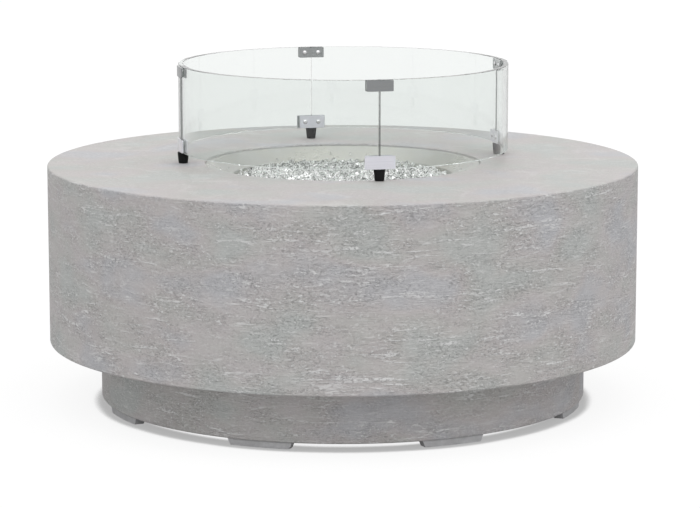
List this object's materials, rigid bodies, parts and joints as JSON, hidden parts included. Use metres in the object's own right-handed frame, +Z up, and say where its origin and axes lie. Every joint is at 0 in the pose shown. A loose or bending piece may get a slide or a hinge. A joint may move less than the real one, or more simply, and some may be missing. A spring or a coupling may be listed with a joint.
{
  "type": "fire pit table",
  "caption": "Round cast stone gas fire pit table with a recessed plinth, a drop-in burner under fire glass, controls at the back and a loose glass wind guard.",
  "frame": {"origin": "on the floor, below the centre of the drum", "axes": "+Z up; the front, as pictured, faces -Y; the controls and the gas inlet face +Y; +X is to the right seen from the front"},
  "size_m": [1.0666, 1.0668, 0.6109],
  "materials": {
    "drum_stone": "fine cast grey stone, matt",
    "plinth_stone": "fine cast grey stone, matt",
    "foot_pads": "grey, matt",
    "bracket_steel": "zinc plated",
    "bolt_steel": "zinc plated",
    "pan_steel": "satin stainless steel",
    "burner_steel": "satin stainless steel",
    "brass": "plain brass",
    "fire_glass": "clear crushed glass",
    "pilot_steel": "satin stainless steel",
    "electrode_ceramic": "white ceramic",
    "sensor_metal": "heat-tinted metal",
    "screw_steel": "stainless steel",
    "igniter_wire": "silicone sleeve",
    "sensor_lead": "copper tube",
    "tray_steel": "satin stainless steel",
    "valve_metal": "cast metal",
    "bezel_chrome": "polished",
    "igniter_plastic": "black",
    "igniter_nut": "black",
    "battery_can": "plain metal can",
    "flex_steel": "stainless steel",
    "hose_rubber": "black",
    "knob_plastic": "black",
    "stem_steel": "steel",
    "igniter_button": "black",
    "clip_steel": "brushed metal",
    "clip_screw_steel": "stainless steel",
    "spacer_rubber": "black",
    "pad_rubber": "thin soft pad",
    "foot_rubber": "black",
    "guard_glass": "clear tempered glass"
  },
  "bodies": {
    "table": {"drum_shell": "drum_stone", "plinth_ring": "plinth_stone", "foot_pads": "foot_pads", "joining_brackets": "bracket_steel", "lip_bolts": "bolt_steel", "lip_nuts": "bolt_steel", "wall_bolts": "bolt_steel", "burner_pan": "pan_steel", "burner_ring": "burner_steel", "hub_locknut": "brass", "gas_elbow": "brass", "fire_glass_bed": "fire_glass", "pilot_bracket": "pilot_steel", "pilot_hood": "pilot_steel", "spark_electrode": "electrode_ceramic", "flame_sensor": "sensor_metal", "pilot_screws": "screw_steel", "igniter_wire": "igniter_wire", "sensor_lead": "sensor_lead", "control_tray": "tray_steel", "tray_screws": "screw_steel", "gas_valve": "valve_metal", "valve_screws": "screw_steel", "knob_bezel": "bezel_chrome", "igniter_barrel": "igniter_plastic", "igniter_nut": "igniter_nut", "igniter_battery": "battery_can", "flex_line": "flex_steel", "supply_hose": "hose_rubber", "hose_nuts": "brass", "inlet_fitting": "brass", "inlet_locknut": "brass"},
    "guard": {"guard_panel_front_left": "guard_glass", "guard_panel_front_right": "guard_glass", "guard_panel_back_left": "guard_glass", "guard_panel_back_right": "guard_glass", "guard_foot_front": "foot_rubber", "guard_foot_right": "foot_rubber", "guard_foot_back": "foot_rubber", "guard_foot_left": "foot_rubber", "upper_clip_front": "clip_steel", "upper_clip_right": "clip_steel", "upper_clip_back": "clip_steel", "upper_clip_left": "clip_steel", "lower_clip_front": "clip_steel", "lower_clip_right": "clip_steel", "lower_clip_back": "clip_steel", "lower_clip_left": "clip_steel", "clip_backing_plates": "clip_steel", "clip_screws": "clip_screw_steel", "clip_spacers": "spacer_rubber", "clip_pads": "pad_rubber"},
    "knob_slide": {"stem_collar": "brass"},
    "knob": {"control_knob": "knob_plastic", "valve_stem": "stem_steel"},
    "plug": {"valve_plug": "brass"},
    "igniter_button": {"igniter_button": "igniter_button"}
  },
  "joints": [
    {"name": "guard_lift", "type": "slide", "parent": "table", "child": "guard", "axis": [0, 0, 1], "range_m": [0, 0.2]},
    {"name": "knob_push", "type": "slide", "parent": "table", "child": "knob_slide", "axis": [0, -1, 0], "range_m": [0, 0.004], "stiffness_N_per_m": 1200, "springref_m": -0.002},
    {"name": "knob_turn", "type": "hinge", "parent": "knob_slide", "child": "knob", "pos_m": [-0.032, 0.48172, 0.27], "axis": [0, 1, 0], "range_deg": [0, 180]},
    {"name": "plug_turn", "type": "hinge", "parent": "table", "child": "plug", "pos_m": [-0.032, 0.48172, 0.27], "axis": [0, 1, 0], "range_deg": [0, 180]},
    {"name": "igniter_push", "type": "slide", "parent": "table", "child": "igniter_button", "axis": [0, -1, 0], "range_m": [0, 0.003], "stiffness_N_per_m": 1500, "springref_m": -0.002}
  ],
  "couplings": [
    {"joint": "plug_turn", "follows": "knob_turn", "ratio": 1}
  ]
}
